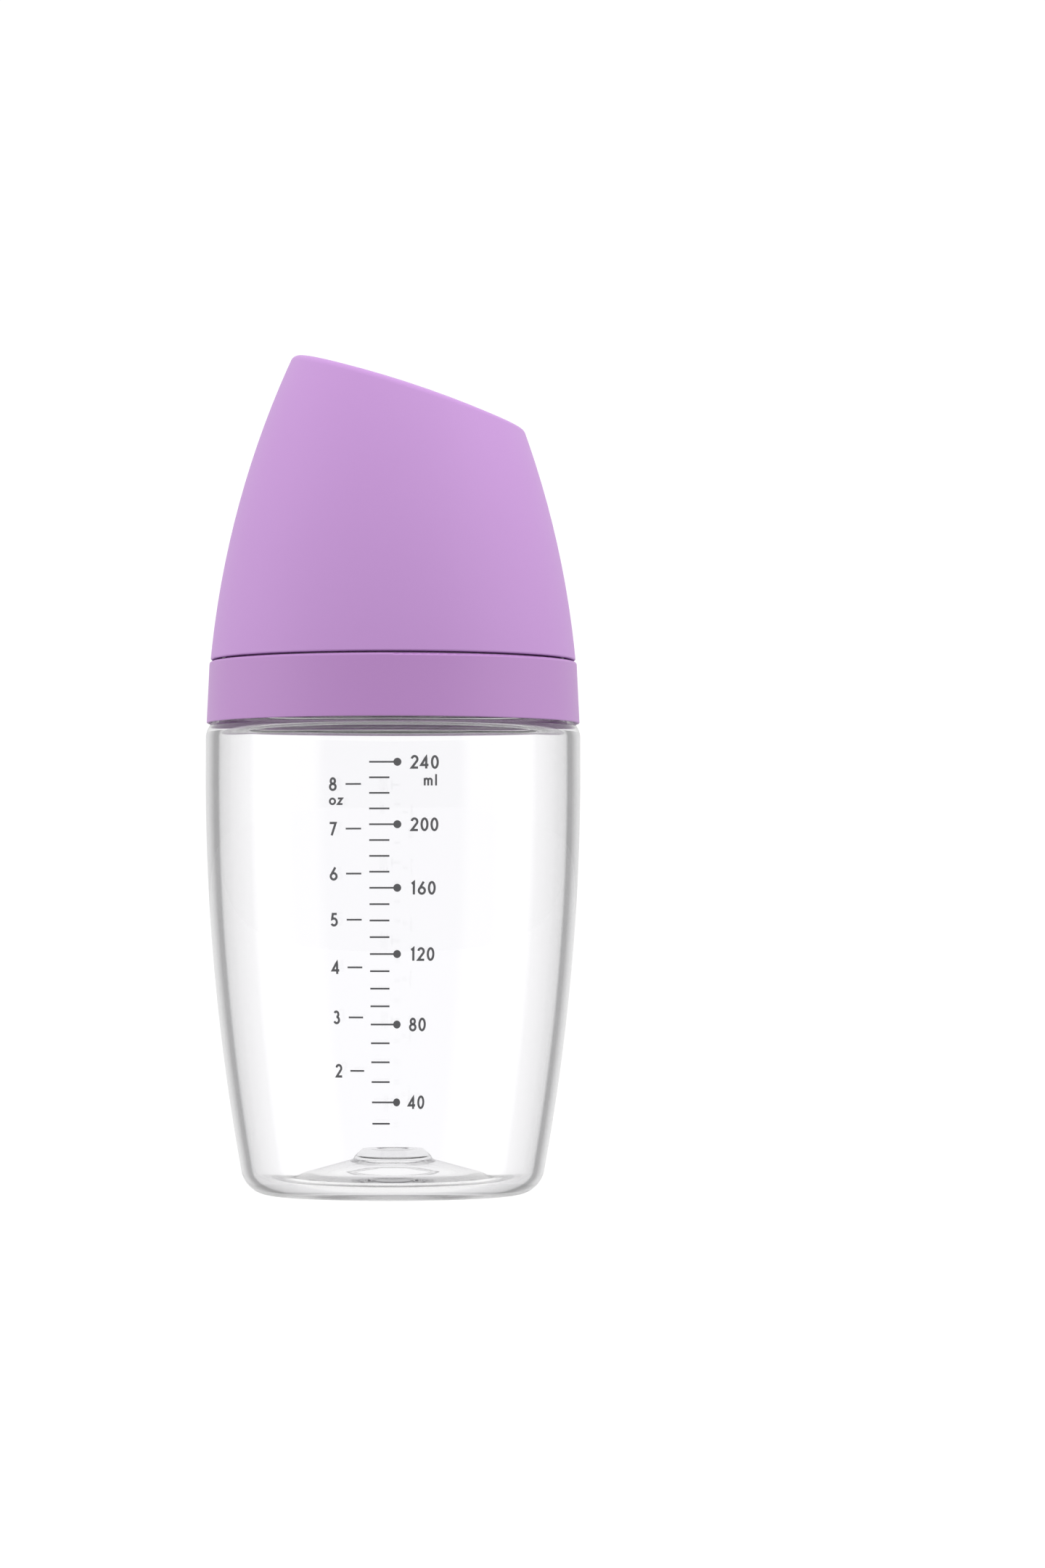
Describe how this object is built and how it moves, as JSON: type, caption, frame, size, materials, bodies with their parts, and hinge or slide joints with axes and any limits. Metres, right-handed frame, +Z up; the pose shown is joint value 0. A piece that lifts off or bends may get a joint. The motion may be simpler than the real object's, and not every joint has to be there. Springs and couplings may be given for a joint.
{
  "type": "baby bottle",
  "caption": "Clear feeding bottle with a soft teat held by a screw-on ring with a matte sleeve, under a tall lavender cap cut off at a slant.",
  "frame": {"origin": "middle of the circle that the bottle stands on", "axes": "+Z up along the bottle's axis; the cap's slanted top is lowest towards +X, turned 5 degrees towards -Y"},
  "size_m": [0.0715, 0.0716, 0.16],
  "materials": {
    "clear_plastic": "clear polished plastic",
    "silicone": "translucent silicone, clear teat and frosted skirt",
    "gloss_lavender": "smooth glossy moulded plastic",
    "matte_lavender": "fine matte moulded plastic",
    "cap_lavender": "fine matte moulded plastic"
  },
  "bodies": {
    "bottle": {"bottle_body": "clear_plastic"},
    "nipple": {"nipple": "silicone"},
    "collar": {"nipple_ring": "gloss_lavender", "collar_sleeve": "matte_lavender"},
    "cap": {"cap": "cap_lavender"}
  },
  "joints": [
    {"name": "nipple_rise", "type": "slide", "parent": "bottle", "child": "nipple", "axis": [0, 0, 1], "range_m": [0, 0.0075]},
    {"name": "collar_screw", "type": "hinge", "parent": "nipple", "child": "collar", "pos_m": [0, 0, 0.1], "axis": [0, 0, 1], "range_deg": [0, 540]},
    {"name": "cap_lift", "type": "slide", "parent": "collar", "child": "cap", "axis": [0, 0, 1], "range_m": [0, 0.06]}
  ],
  "couplings": [
    {"joint": "nipple_rise", "follows": "collar_screw", "m_per_rad": 0.00079577}
  ]
}
